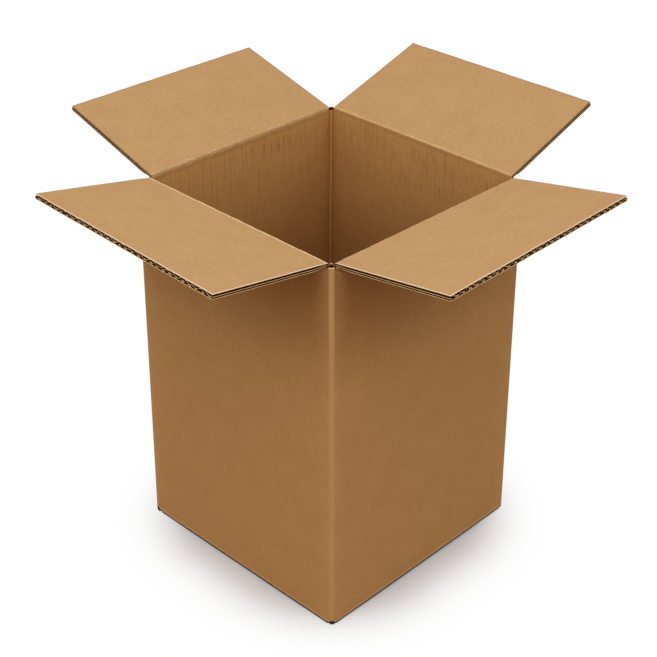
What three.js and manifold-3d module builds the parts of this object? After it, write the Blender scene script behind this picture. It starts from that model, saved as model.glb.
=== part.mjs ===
// Double wall corrugated box: a tall slotted carton on a square base, folded from one blank, with
// its bottom flaps glued shut and its four top flaps open. Millimetres, X right, Y back, Z up, and
// the origin is on the floor under the middle of the box.

import * as THREE from "three";
import { mergeVertices } from "three/addons/utils/BufferGeometryUtils.js";
import Module from "manifold-3d";

const wasm = await Module();
wasm.setup();

// The carton's outer sizes, and the height of the fold lines of the front and back flaps
const OUTER_WIDTH = 343;
const OUTER_DEPTH = 343;
const FOLD_HEIGHT = 528;

// The board: three flat liners with a small and a large wave of fluting between them
const LINER = 0.45;
const SMALL_FLUTE_HEIGHT = 2.1;
const SMALL_FLUTE_PITCH = 6.4;
const LARGE_FLUTE_HEIGHT = 3.0;
const LARGE_FLUTE_PITCH = 7.8;
const FLUTE_PAPER = 0.45;
const BOARD = 3 * LINER + SMALL_FLUTE_HEIGHT + LARGE_FLUTE_HEIGHT;

// Slots between neighbouring flaps, and the gap left where opposite flaps meet when closed
const SLOT_INSET = 12;
const SLOT_CLEARANCE = 0.5;
const MEETING_GAP = 5;

// How far each open flap leans up from the horizontal, in degrees
const FRONT_LEAN = 10.5;
const RIGHT_LEAN = 10;
const BACK_LEAN = 18.5;
const LEFT_LEAN = 15.8;

// The scored folds
const CREASE_RADIUS = 2.5;
const CREASE_LENGTH = 5;
const CREASE_CLEARANCE = 0.3;
const CORNER_RADIUS = 5;
const CORNER_BEAD_RADIUS = 4.5;
const BOTTOM_FOLD_RADIUS = 4;
const BOTTOM_FOLD_HEIGHT = 16;
const INNER_FLAP_LIFT = 0.6;
const CORNER_LIFT = 2.5;

// The glue lap inside the front left corner, and the cut edge that it leaves there
const LAP_WIDTH = 36;
const LAP_THICKNESS = 4.2;
const LAP_END_DISTANCE = 24;
const LAP_END_SLANT = 10;
const CUT_EDGE_GROOVE = 0.8;
const CUT_EDGE_GROOVE_DEPTH = 2.2;

// Faces that are glued together are pressed into each other by this much
const GLUE_PRESS = 0.05;

const ARC_STEPS = 6;
const CREASE_STEPS = 12;
const KRAFT_TOP = 0xc49a6a;
const KRAFT_WALL = 0xa97c4c;

const halfWidth = OUTER_WIDTH / 2;
const halfDepth = OUTER_DEPTH / 2;

// The outer pair of flaps closes over the inner pair, one board lower. Both pairs lie level with
// each other when they are folded out, so the inner pair's fold is half a board lower and its
// board stands half a board further from the fold.
const foldDrop = (BOARD + CREASE_CLEARANCE) / 2;
const outerPair = { foldHeight: FOLD_HEIGHT, offset: CREASE_CLEARANCE };
const innerPair = { foldHeight: FOLD_HEIGHT - foldDrop, offset: CREASE_CLEARANCE + foldDrop };

const frontFlap = { name: "front_flap", turn: 0, lean: FRONT_LEAN, pair: outerPair };
const rightFlap = { name: "right_flap", turn: 90, lean: RIGHT_LEAN, pair: innerPair };
const backFlap = { name: "back_flap", turn: 180, lean: BACK_LEAN, pair: outerPair };
const leftFlap = { name: "left_flap", turn: 270, lean: LEFT_LEAN, pair: innerPair };

// A wall that is turned by a right angle runs along Y, and its reach to the middle is along X.
function wallLength(turn) {
  return turn % 180 === 0 ? OUTER_WIDTH : OUTER_DEPTH;
}

function wallReach(turn) {
  return turn % 180 === 0 ? halfDepth : halfWidth;
}

function solid(geometry) {
  const bare = geometry.clone();
  bare.deleteAttribute("normal");
  bare.deleteAttribute("uv");
  const merged = mergeVertices(bare, 1e-5);
  const vertProperties = new Float32Array(merged.attributes.position.array);
  const triVerts = new Uint32Array(merged.index.array);
  return new wasm.Manifold(new wasm.Mesh({ numProp: 3, vertProperties, triVerts }));
}

function geometryOf(manifold) {
  const mesh = manifold.getMesh();
  const geometry = new THREE.BufferGeometry();
  geometry.setAttribute("position", new THREE.BufferAttribute(mesh.vertProperties, 3));
  geometry.setIndex(new THREE.BufferAttribute(mesh.triVerts, 1));
  geometry.computeVertexNormals();
  return geometry;
}

function upright(shape, bottom, height) {
  const geometry = new THREE.ExtrudeGeometry(shape, {
    depth: height, bevelEnabled: false, curveSegments: ARC_STEPS,
  });
  return geometry.translate(0, 0, bottom);
}

// Extrudes an outline drawn in Y and Z along X, over a length that is centred on X = 0.
function alongX(points, length) {
  const shape = new THREE.Shape(points.map(([y, z]) => new THREE.Vector2(y, z)));
  const geometry = new THREE.ExtrudeGeometry(shape, { depth: length, bevelEnabled: false });
  geometry.translate(0, 0, -length / 2);
  geometry.rotateX(Math.PI / 2);
  geometry.rotateZ(Math.PI / 2);
  return geometry;
}

function turned(geometry, degrees) {
  return geometry.rotateZ(THREE.MathUtils.degToRad(degrees));
}

// The walls in plan: rounded folds on three corners, and on the front left corner the front
// wall's cut edge, with the left wall folding in behind it.
function wallsOutline() {
  const outline = new THREE.Shape();
  const r = CORNER_RADIUS;
  const grooveBack = -halfDepth + BOARD + CUT_EDGE_GROOVE;
  outline.moveTo(-halfWidth, -halfDepth);
  outline.lineTo(halfWidth - r, -halfDepth);
  outline.absarc(halfWidth - r, -halfDepth + r, r, -Math.PI / 2, 0, false);
  outline.lineTo(halfWidth, halfDepth - r);
  outline.absarc(halfWidth - r, halfDepth - r, r, 0, Math.PI / 2, false);
  outline.lineTo(-halfWidth + r, halfDepth);
  outline.absarc(-halfWidth + r, halfDepth - r, r, Math.PI / 2, Math.PI, false);
  outline.lineTo(-halfWidth, grooveBack + CUT_EDGE_GROOVE);
  outline.lineTo(-halfWidth + CUT_EDGE_GROOVE_DEPTH, grooveBack);
  outline.lineTo(-halfWidth + CUT_EDGE_GROOVE_DEPTH, grooveBack - CUT_EDGE_GROOVE);
  outline.lineTo(-halfWidth, grooveBack - CUT_EDGE_GROOVE);
  outline.closePath();
  return outline;
}

// The inside in plan: each scored fold leaves a round bead of squeezed board in its corner.
function insideOutline() {
  const inside = new THREE.Path();
  const x = halfWidth - BOARD;
  const y = halfDepth - BOARD;
  const b = CORNER_BEAD_RADIUS;
  const quarter = Math.PI / 2;
  inside.moveTo(x, -y + b);
  inside.lineTo(x, y - b);
  inside.absarc(x, y, b, -quarter, -2 * quarter, true);
  inside.lineTo(-x + b, y);
  inside.absarc(-x, y, b, 0, -quarter, true);
  inside.lineTo(-x, -y + b);
  inside.absarc(-x, -y, b, quarter, 0, true);
  inside.lineTo(x - b, -y);
  inside.absarc(x, -y, b, 2 * quarter, quarter, true);
  return inside;
}

// What is cut from a wall above its fold: the top slopes down to the inside, so that the flap's
// squeezed crease lies on the slope when the flap is closed.
function wallTopCut(turn, pair) {
  const face = -wallReach(turn);
  const axis = face - CREASE_CLEARANCE;
  const outerTop = pair.foldHeight - CREASE_RADIUS - CREASE_CLEARANCE;
  const innerTop = pair.foldHeight - pair.offset - BOARD - CREASE_CLEARANCE;
  const above = FOLD_HEIGHT + BOARD;
  const points = [
    [face - BOARD, outerTop],
    [axis, outerTop],
    [axis + CREASE_LENGTH, innerTop],
    [face + 2 * BOARD, innerTop],
    [face + 2 * BOARD, above],
    [face - BOARD, above],
  ];
  const length = wallLength(turn) - 2 * SLOT_INSET + 2 * SLOT_CLEARANCE;
  return solid(turned(alongX(points, length), turn));
}

// What is cut from a wall's foot, where its bottom fold goes.
function wallFootCut(turn) {
  const face = -wallReach(turn);
  const points = [
    [face - BOARD, -BOARD],
    [face + 2 * BOARD, -BOARD],
    [face + 2 * BOARD, BOTTOM_FOLD_HEIGHT - BOARD],
    [face - BOARD, BOTTOM_FOLD_HEIGHT - BOARD],
  ];
  return solid(turned(alongX(points, wallLength(turn) - 2 * SLOT_INSET), turn));
}

// A wall's foot, its rounded bottom fold and the bottom flap, in one outline. The underside of
// the wall is at foot, and the underside of the flap is at floor.
function bottomFlap(turn, foot, floor) {
  const face = -wallReach(turn);
  const r = BOTTOM_FOLD_RADIUS;
  const points = [];
  for (let step = 0; step <= ARC_STEPS; step += 1) {
    const angle = Math.PI + (step / ARC_STEPS) * (Math.PI / 2);
    points.push([face + r + r * Math.cos(angle), foot + r + r * Math.sin(angle)]);
  }
  if (floor > foot) {
    points.push([face + BOARD, foot], [face + BOARD, floor]);
  }
  points.push(
    [-MEETING_GAP / 2, floor],
    [-MEETING_GAP / 2, floor + BOARD],
    [face + BOARD, floor + BOARD],
    [face + BOARD, BOTTOM_FOLD_HEIGHT],
    [face, BOTTOM_FOLD_HEIGHT],
  );
  return solid(turned(alongX(points, wallLength(turn) - 2 * SLOT_INSET), turn));
}

// The lap is squeezed thin by its glue, and its two ends are cut at a slant.
function glueLap() {
  const top = innerPair.foldHeight - innerPair.offset - BOARD - LAP_END_DISTANCE;
  const bottom = 2 * BOARD + LAP_END_DISTANCE;
  const start = -halfWidth + BOARD - GLUE_PRESS;
  const end = start + LAP_WIDTH;
  const corners = [
    [start, bottom], [end, bottom + LAP_END_SLANT], [end, top - LAP_END_SLANT], [start, top],
  ];
  const shape = new THREE.Shape(corners.map(([x, z]) => new THREE.Vector2(x, z)));
  const geometry = new THREE.ExtrudeGeometry(shape, { depth: LAP_THICKNESS, bevelEnabled: false });
  geometry.rotateX(Math.PI / 2);
  geometry.translate(0, -halfDepth + BOARD - GLUE_PRESS + LAP_THICKNESS, 0);
  return solid(geometry);
}

function cartonBody() {
  const walls = wallsOutline();
  walls.holes.push(insideOutline());
  let body = solid(upright(walls, CORNER_LIFT, FOLD_HEIGHT - CORNER_LIFT));
  for (const side of [frontFlap, rightFlap, backFlap, leftFlap]) {
    const outer = side.pair === outerPair;
    const foot = outer ? 0 : INNER_FLAP_LIFT;
    const floor = outer ? 0 : BOARD - GLUE_PRESS;
    body = body.subtract(wallTopCut(side.turn, side.pair));
    body = body.subtract(wallFootCut(side.turn));
    body = body.add(bottomFlap(side.turn, foot, floor));
  }
  body = body.add(glueLap());
  return geometryOf(body);
}

// The openings of one wave of fluting: triangles on both sides of the slanting paper.
function fluteHoles(width, low, height, pitch) {
  const holes = [];
  const count = Math.floor(width / pitch);
  const slope = Math.atan2(height, pitch / 2);
  const lift = FLUTE_PAPER / 2 / Math.cos(slope);
  const reach = pitch / 2 - (lift * pitch) / 2 / height;
  const first = (-count * pitch) / 2;
  for (let i = 0; i < count; i += 1) {
    const middle = first + (i + 0.5) * pitch;
    holes.push([[middle - reach, low], [middle, low + height - lift], [middle + reach, low]]);
    if (i > 0) {
      const valley = middle - pitch / 2;
      const top = low + height;
      holes.push([[valley - reach, top], [valley + reach, top], [valley, low + lift]]);
    }
  }
  return holes;
}

function outlineOf(points) {
  return points.map(([x, y]) => new THREE.Vector2(x, y));
}

// A flap standing upright on its fold line, which is the X axis. Its inner face is towards +Y.
// The flutes are open at its free edge and squeezed shut at the crease.
function flapGeometry(side) {
  const { offset } = side.pair;
  const width = wallLength(side.turn) - 2 * SLOT_INSET;
  const length = wallReach(side.turn) + CREASE_CLEARANCE - MEETING_GAP / 2;
  const smallLow = offset + LINER;
  const largeLow = smallLow + SMALL_FLUTE_HEIGHT + LINER;
  const section = new THREE.Shape(outlineOf([
    [-width / 2, offset], [width / 2, offset],
    [width / 2, offset + BOARD], [-width / 2, offset + BOARD],
  ]));
  const holes = [
    ...fluteHoles(width, smallLow, SMALL_FLUTE_HEIGHT, SMALL_FLUTE_PITCH),
    ...fluteHoles(width, largeLow, LARGE_FLUTE_HEIGHT, LARGE_FLUTE_PITCH),
  ];
  const tunnels = holes.map((hole) => new THREE.Shape(outlineOf(hole)));
  const panel = solid(upright(section, CREASE_LENGTH, length - CREASE_LENGTH));
  const flutes = solid(upright(tunnels, CREASE_LENGTH + LINER, length));
  return geometryOf(panel.subtract(flutes).add(creaseSolid(offset, width)));
}

// The squeezed crease: a round bead on the fold line, and a web that widens to the full board.
function creaseSolid(offset, width) {
  const bead = [];
  for (let step = 0; step < CREASE_STEPS; step += 1) {
    const angle = (step / CREASE_STEPS) * 2 * Math.PI;
    bead.push([CREASE_RADIUS * Math.cos(angle), CREASE_RADIUS * Math.sin(angle)]);
  }
  const outerFoot = Math.min(offset, 0);
  const web = [
    [outerFoot, 0],
    [CREASE_RADIUS, 0],
    [offset + BOARD, CREASE_LENGTH],
    [offset + BOARD, CREASE_LENGTH + LINER],
    [offset, CREASE_LENGTH + LINER],
    [offset, CREASE_LENGTH],
    [outerFoot, CREASE_RADIUS / 2],
  ];
  return solid(alongX(bead, width)).add(solid(alongX(web, width)));
}

// Places a flap on its wall: turned to its side of the box, then leaned out from upright.
function placedFlap(side) {
  const material = new THREE.MeshStandardMaterial({ color: KRAFT_TOP, roughness: 0.85, metalness: 0 });
  const mesh = new THREE.Mesh(flapGeometry(side), material);
  mesh.name = side.name;
  mesh.rotation.x = THREE.MathUtils.degToRad(90 - side.lean);
  mesh.position.set(0, -wallReach(side.turn) - CREASE_CLEARANCE, side.pair.foldHeight);
  const holder = new THREE.Group();
  holder.rotation.z = THREE.MathUtils.degToRad(side.turn);
  holder.add(mesh);
  return holder;
}

const box = new THREE.Group();
const bodyMaterial = new THREE.MeshStandardMaterial({ color: KRAFT_WALL, roughness: 0.85, metalness: 0 });
const body = new THREE.Mesh(cartonBody(), bodyMaterial);
body.name = "carton_body";
box.add(body);
for (const side of [frontFlap, rightFlap, backFlap, leftFlap]) {
  box.add(placedFlap(side));
}

export default box;
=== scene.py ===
"""Dresses the double wall corrugated box: kraft board walls, creased flaps and open flutes."""
import logging
import math
from collections.abc import Callable
from dataclasses import dataclass
from enum import Enum
from functools import reduce

import bmesh
import bpy
import numpy as np
from mathutils import Matrix, Vector


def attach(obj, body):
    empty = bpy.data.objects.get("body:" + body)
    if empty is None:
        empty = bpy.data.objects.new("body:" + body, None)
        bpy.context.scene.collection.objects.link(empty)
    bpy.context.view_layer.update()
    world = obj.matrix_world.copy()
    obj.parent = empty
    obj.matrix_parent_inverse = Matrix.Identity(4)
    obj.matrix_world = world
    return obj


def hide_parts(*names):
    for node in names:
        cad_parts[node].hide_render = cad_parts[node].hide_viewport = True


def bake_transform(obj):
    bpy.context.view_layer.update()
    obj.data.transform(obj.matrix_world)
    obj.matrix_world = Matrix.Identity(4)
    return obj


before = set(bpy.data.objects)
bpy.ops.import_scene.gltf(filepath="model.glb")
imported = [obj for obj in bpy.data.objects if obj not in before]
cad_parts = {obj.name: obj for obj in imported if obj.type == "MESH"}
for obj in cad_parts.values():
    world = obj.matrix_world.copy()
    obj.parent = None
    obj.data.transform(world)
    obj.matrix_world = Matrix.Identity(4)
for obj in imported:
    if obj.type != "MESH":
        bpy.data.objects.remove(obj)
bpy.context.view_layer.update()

LOG = logging.getLogger("corrugated_box")

Array = np.ndarray
Colour = tuple[float, float, float, float]
Node = bpy.types.Node
Papers = list[bpy.types.Material]
Socket = bpy.types.NodeSocket
Sockets = bpy.types.bpy_prop_collection
Tree = bpy.types.NodeTree

# Lengths are in millimetres, and MM turns them into metres.
MM = 0.001
IMAGE_SIZE = 657
HALF_WIDTH = 171.5
FOLD_HEIGHT = 528.0
FLAP_HALF_WIDTH = 160.5
NOTCH_HALF_WIDTH = 160.9
CORNER_START = 161.2
FRONT_CORNER_HEIGHT = 533.6
CORNER_HEIGHT = 528.5
FLAP_LENGTH = 169.3
FOLD_CLEARANCE = 0.3
FOLD_DROP = 3.375
DROP_FADE = 480.0
CREASE_LEG = 9.0
WALL_TOP = FOLD_HEIGHT - CREASE_LEG - FOLD_DROP
RIDGE_HALF = 5.0
WALL_PANEL_TOP = -6.0
MERGE_DISTANCE = 0.005 * MM
SHARP_ANGLE = 42


class Side(Enum):
    """The four sides of the box, each a quarter turn on from the one before."""

    FRONT = 0
    RIGHT = 1
    BACK = 2
    LEFT = 3


class Corner(Enum):
    """How two walls meet: scored and folded, or the cut edge that the glue lap holds."""

    FOLDED = 0
    CUT = 1


class Finish(Enum):
    """The paper surfaces of the board, in the order of a piece's material slots."""

    OUTSIDE = 0
    INSIDE = 1
    # EDGE is the liners' cut edges: pale partly as the cut paper's own colour and partly as painted
    # highlight.
    EDGE = 2
    # FLUTE is the fluting paper, coloured near black: partly its own darker brown, mostly painted
    # shade of the cavities between the liners.
    FLUTE = 3
    # FRAY is the cut ends of the middle liner and the fluting: dark as painted shade of the open
    # flutes, with pale fibre tufts.
    FRAY = 4


@dataclass(frozen=True)
class Board:
    """The section of the double wall board, in millimetres, from the outside in."""

    liner: float = 0.75
    small_flute: float = 1.7
    large_flute: float = 2.5
    small_pitch: float = 6.4
    large_pitch: float = 7.8
    flute_paper: float = 0.5

    @property
    def thickness(self) -> float:
        """The whole board's thickness."""
        return 3 * self.liner + self.small_flute + self.large_flute

    @property
    def liners(self) -> list[tuple[float, float]]:
        """Each liner's lower and upper face, measured from the outer face."""
        middle = self.liner + self.small_flute
        inner = middle + self.liner + self.large_flute
        return [(0.0, self.liner), (middle, middle + self.liner), (inner, inner + self.liner)]

    @property
    def flutes(self) -> list[tuple[float, float, float]]:
        """Each fluting's lower face, height and pitch."""
        return [
            (self.liner, self.small_flute, self.small_pitch),
            (2 * self.liner + self.small_flute, self.large_flute, self.large_pitch),
        ]


BOARD = Board()


def smoothstep(low: float, high: float, value: Array) -> Array:
    """Rises smoothly from 0 at low to 1 at high."""
    t = np.clip((np.asarray(value, float) - low) / (high - low), 0.0, 1.0)
    return t * t * (3.0 - 2.0 * t)


def ripple(along: Array, seed: int, lengths: tuple[float, ...]) -> Array:
    """A fixed irregular wave between about -1 and 1.

    Args:
        along: positions in millimetres.
        seed: which of the waves.
        lengths: the wave lengths that are mixed, in millimetres.

    Returns:
        The wave at each position.
    """
    rng = np.random.default_rng(seed)
    total = np.zeros_like(np.asarray(along, float))
    for length in lengths:
        total += np.sin(2 * math.pi * np.asarray(along) / length + rng.uniform(0, 2 * math.pi))
    return total / len(lengths)


def to_world(side: Side, s: Array | float, u: Array | float, z: Array | float) -> Array:
    """Places points of one side of the box.

    Args:
        side: the side that the points belong to.
        s: millimetres along the wall, seen from outside, from its middle.
        u: millimetres outward from the wall's outer face.
        z: millimetres above the floor.

    Returns:
        The points in metres, with x, y and z last.
    """
    x, y = np.asarray(s, float), -(HALF_WIDTH + np.asarray(u, float))
    x, y, z = np.broadcast_arrays(x, y, np.asarray(z, float))
    for _ in range(side.value):
        x, y = -y, x
    return np.stack([x, y, z], axis=-1) * MM


def add_object(name: str, data: bpy.types.ID) -> bpy.types.Object:
    """Makes an object and links it to the scene.

    Args:
        name: its name.
        data: its mesh, camera or lamp.

    Returns:
        The object.
    """
    made = bpy.data.objects.new(name, data)
    bpy.context.scene.collection.objects.link(made)
    return made


class MeshDraft:
    """Collects grids of quads with panel coordinates and finishes, and makes one mesh of them."""

    def __init__(self) -> None:
        """Starts with nothing."""
        self.points: list[Array] = []
        self.quads: list[Array] = []
        self.coords: list[Array] = []
        self.finishes: list[Array] = []
        self.count = 0

    def add_points(self, points: Array) -> Array:
        """Adds a grid of points.

        Args:
            points: the grid.

        Returns:
            The grid of their numbers.
        """
        flat = points.reshape(-1, 3)
        numbers = np.arange(self.count, self.count + len(flat)).reshape(points.shape[:-1])
        self.points.append(flat)
        self.count += len(flat)
        return numbers

    def add_quads(self, a: Array, b: Array, uv_a: Array, uv_b: Array, finish: Finish) -> None:
        """Joins two rows of numbered points with quads.

        Args:
            a: the first row's numbers.
            b: the second row's numbers.
            uv_a: the first row's panel coordinates.
            uv_b: the second row's panel coordinates.
            finish: the surface's finish.
        """
        quads = np.stack([a[:-1], a[1:], b[1:], b[:-1]], axis=-1)
        coords = np.stack([uv_a[:-1], uv_a[1:], uv_b[1:], uv_b[:-1]], axis=1)
        self.quads.append(quads)
        self.coords.append(coords)
        self.finishes.append(np.full(len(quads), finish.value))

    def add_grid(self, numbers: Array, uv: Array, finish: Finish) -> None:
        """Joins a whole grid of numbered points with quads of one finish."""
        for row in range(numbers.shape[0] - 1):
            self.add_quads(numbers[row], numbers[row + 1], uv[row], uv[row + 1], finish)

    def add_slab(self, upper: Array, lower: Array, uv: Array,
                 faces: tuple[Finish, Finish], edge: Finish, tip: Finish) -> None:
        """Adds a closed sheet of paper between two grids.

        Args:
            upper: the upper face's grid of points.
            lower: the lower face's grid of points.
            uv: the panel coordinates of both.
            faces: the finish of the upper and of the lower face.
            edge: the finish of the cut edges along both sides.
            tip: the finish of the cut edges at both ends.
        """
        top, base = self.add_points(upper), self.add_points(lower)
        self.add_grid(top, uv, faces[0])
        self.add_grid(base, uv, faces[1])
        for pick, finish in ((np.s_[0, :], tip), (np.s_[-1, :], tip), (np.s_[:, 0], edge),
                             (np.s_[:, -1], edge)):
            self.add_quads(top[pick], base[pick], uv[pick], uv[pick], finish)

    def build(self, name: str, materials: Papers) -> bpy.types.Object:
        """Makes the object.

        Args:
            name: the object's name.
            materials: its materials, in the order of Finish.

        Returns:
            The new object, linked to the scene.
        """
        quads = np.concatenate(self.quads)
        mesh = bpy.data.meshes.new(name)
        mesh.vertices.add(self.count)
        mesh.vertices.foreach_set("co", np.concatenate(self.points).astype(np.float32).ravel())
        mesh.loops.add(quads.size)
        mesh.loops.foreach_set("vertex_index", quads.astype(np.int32).ravel())
        mesh.polygons.add(len(quads))
        mesh.polygons.foreach_set("loop_start", np.arange(0, quads.size, 4, dtype=np.int32))
        mesh.polygons.foreach_set(
            "material_index", np.concatenate(self.finishes).astype(np.int32))
        layer = mesh.uv_layers.new(name="panel")
        mesh.update(calc_edges=True)
        layer.data.foreach_set("uv", np.concatenate(self.coords).astype(np.float32).ravel())
        for material in materials:
            mesh.materials.append(material)
        work = bmesh.new()
        work.from_mesh(mesh)
        bmesh.ops.remove_doubles(work, verts=work.verts, dist=MERGE_DISTANCE)
        bmesh.ops.recalc_face_normals(work, faces=work.faces)
        work.to_mesh(mesh)
        work.free()
        mesh.polygons.foreach_set("use_smooth", np.ones(len(mesh.polygons), dtype=bool))
        mesh.set_sharp_from_angle(angle=math.radians(SHARP_ANGLE))
        mesh.validate()
        return add_object(name, mesh)


@dataclass
class FluteBoard:
    """A run of double wall board that is swept along rows, with real liners and fluting."""

    columns: int = 107
    points_per_flute: int = 8
    fray_shift: float = 5.0
    glue_gap: float = 0.01

    def fill(self, draft: MeshDraft, place: Callable[[Array, Array], Array],
             uv_of: Callable[[Array], Array], half: float,
             faces: tuple[Finish, Finish]) -> None:
        """Adds the three liners and the two flutings to a draft.

        Args:
            draft: the mesh that grows.
            place: turns positions along the width and depths in the board into grids of points.
            uv_of: turns positions along the width into a grid of panel coordinates.
            half: half the board's width.
            faces: the finish of the inner and of the outer face.
        """
        across = np.linspace(-half, half, self.columns)
        for number, (low, high) in enumerate(BOARD.liners):
            upper = faces[0] if number == 2 else Finish.FLUTE
            lower = faces[1] if number == 0 else Finish.FLUTE
            draft.add_slab(place(across, np.full_like(across, high)),
                           place(across, np.full_like(across, low)),
                           uv_of(across), (upper, lower), Finish.EDGE,
                           Finish.FRAY if number == 1 else Finish.EDGE)
        for number, (low, height, pitch) in enumerate(BOARD.flutes):
            waves = round(2 * half / pitch)
            s = np.linspace(-half, half, waves * self.points_per_flute + 1)
            paper = BOARD.flute_paper
            swing = (height - paper) / 2 * (1 if number == 0 else -1)
            turn = math.pi * waves * (s + half) / half
            rise = swing * np.cos(turn)
            slope = swing * math.pi * waves / half * np.sin(turn)
            thick = paper / 2 * np.sqrt(1 + slope ** 2)
            middle = low + height / 2 + rise
            draft.add_slab(place(s, np.minimum(middle + thick, low + height - self.glue_gap)),
                           place(s, np.maximum(middle - thick, low + self.glue_gap)),
                           uv_of(s) + np.array([self.fray_shift * MM * number, 0.0]),
                           (Finish.FLUTE, Finish.FLUTE), Finish.FLUTE, Finish.FRAY)


@dataclass
class Flap:
    """A top flap with its crease and the last strip of the wall that it folds on."""

    side: Side
    lean: float
    outer_pair: bool
    twist: float = 0.0
    trim: float = 0.0
    taper: float = 0.0
    lift: float = 2.6
    dip: float = 0.2
    squeeze: float = 8.0
    wall_squeeze: float = 3.6
    sharpness: float = 20.0
    bow: float = 0.4
    crumple: float = 0.3
    wander: float = 0.25
    wander_start: float = 120.0
    blend_reach: float = 5.0
    below: tuple[float, ...] = (-9.0, -7.0, -5.0, -3.5, -2.0, -1.0)
    beyond: tuple[float, ...] = (
        1.0, 2.0, 3.5, 5.0, 7.0, 9.5, 13.0, 20.0, 34.0, 52.0, 74.0, 98.0, 122.0, 144.0, 160.0,
        167.0, FLAP_LENGTH)
    arc_steps: int = 8

    @property
    def body(self) -> str:
        """The name of the body that the flap is."""
        return f"{self.side.name.lower()}_flap"

    @property
    def fold_height(self) -> float:
        """The height of the fold's axis."""
        return FOLD_HEIGHT if self.outer_pair else FOLD_HEIGHT - FOLD_DROP

    @property
    def offset(self) -> float:
        """How far the flap's outer face stands from the fold's axis."""
        return FOLD_CLEARANCE if self.outer_pair else FOLD_CLEARANCE + FOLD_DROP

    def rows(self) -> tuple[Array, Array]:
        """The rows along the board.

        Returns:
            The distance past the fold and the share of the turn, for each row.
        """
        arc = np.linspace(0, 1, self.arc_steps + 1)
        beyond = np.array(self.beyond) * (FLAP_LENGTH - self.trim) / FLAP_LENGTH
        past = np.concatenate([self.below, np.zeros(len(arc)), beyond])
        turn = np.concatenate([np.zeros(len(self.below)), arc, np.ones(len(self.beyond))])
        return past, turn

    def place(self, s: Array, depth: Array) -> Array:
        """Puts points of the board in place.

        Args:
            s: positions along the fold.
            depth: how far each lies from the outer face.

        Returns:
            The grid of points, one row for each row along the board.
        """
        past, turn = self.rows()
        angle = np.radians(90 - self.lean) * turn
        width = np.where(past < 0, self.wall_squeeze, self.squeeze)
        pressed = np.exp(-(past / width) ** 2)[:, None]
        rest = math.radians(90 - self.lean) - angle
        thickness = BOARD.thickness
        inner = depth[None, :] / thickness
        seed = 10 * self.side.value
        crumple = self.crumple * ripple(s, seed + 1, (7.8, 23.0, 61.0))[None, :]
        pushed = (self.lift * pressed
                  + depth[None, :] * (1 - (self.lift + self.dip) * pressed / thickness)
                  + crumple * pressed * inner)
        on_wall = (FOLD_CLEARANCE + pushed) / np.cos(angle)[:, None]
        on_flap = (self.offset + pushed) / np.cos(rest)[:, None]
        power = self.sharpness
        reach = (on_wall ** -power + on_flap ** -power) ** (-1 / power)
        reach = np.where(past[:, None] < 0, on_wall, np.where(past[:, None] > 0, on_flap, reach))
        wander = self.wander * ripple(s, seed + 2, (41.0, 97.0))[None, :]
        along = past[:, None] + wander * smoothstep(
            self.wander_start, FLAP_LENGTH, past)[:, None]
        share = np.clip(past / FLAP_LENGTH, 0, 1)[:, None]
        bent = self.bow * np.sin(math.pi * share) * ripple(s, seed + 3, (190.0, 640.0))[None, :]
        reach = reach + bent + self.twist * s[None, :] / FLAP_HALF_WIDTH * share
        out = FOLD_CLEARANCE + np.sin(angle)[:, None] * along - np.cos(angle)[:, None] * reach
        up = self.fold_height + np.cos(angle)[:, None] * along + np.sin(angle)[:, None] * reach
        return to_world(self.side, s[None, :] * (1 - self.taper * share), out, up)

    def panel(self, s: Array) -> Array:
        """The panel coordinates of the board: metres along the fold and past the ridge.

        Args:
            s: positions along the fold.

        Returns:
            The grid of panel coordinates.
        """
        past, turn = self.rows()
        whole = np.where(past > 0, past * FLAP_LENGTH / (FLAP_LENGTH - self.trim), past)
        length = whole + RIDGE_HALF * (2 * turn - 1)
        s_grid, v_grid = np.meshgrid(s, length)
        return np.stack([s_grid * MM + self.side.value, v_grid * MM], axis=-1)

    def build(self, materials: Papers) -> bpy.types.Object:
        """Makes the flap, bent at its crease, and hides the solid that it replaces.

        Args:
            materials: the papers, in the order of Finish.

        Returns:
            The flap.
        """
        draft = MeshDraft()
        FluteBoard().fill(draft, self.place, self.panel, FLAP_HALF_WIDTH,
                          (Finish.INSIDE, Finish.OUTSIDE))
        made = draft.build(f"{self.body}_board", materials)
        lean = math.radians(self.lean)
        middle = Vector((math.cos(lean), math.sin(lean) + 1)).normalized() * self.blend_reach
        ends = [to_world(self.side, 0.0, FOLD_CLEARANCE + sign * middle.x,
                         self.fold_height + sign * middle.y) for sign in (-1, 1)]
        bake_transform(made)
        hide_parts(self.body)
        return made


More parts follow.
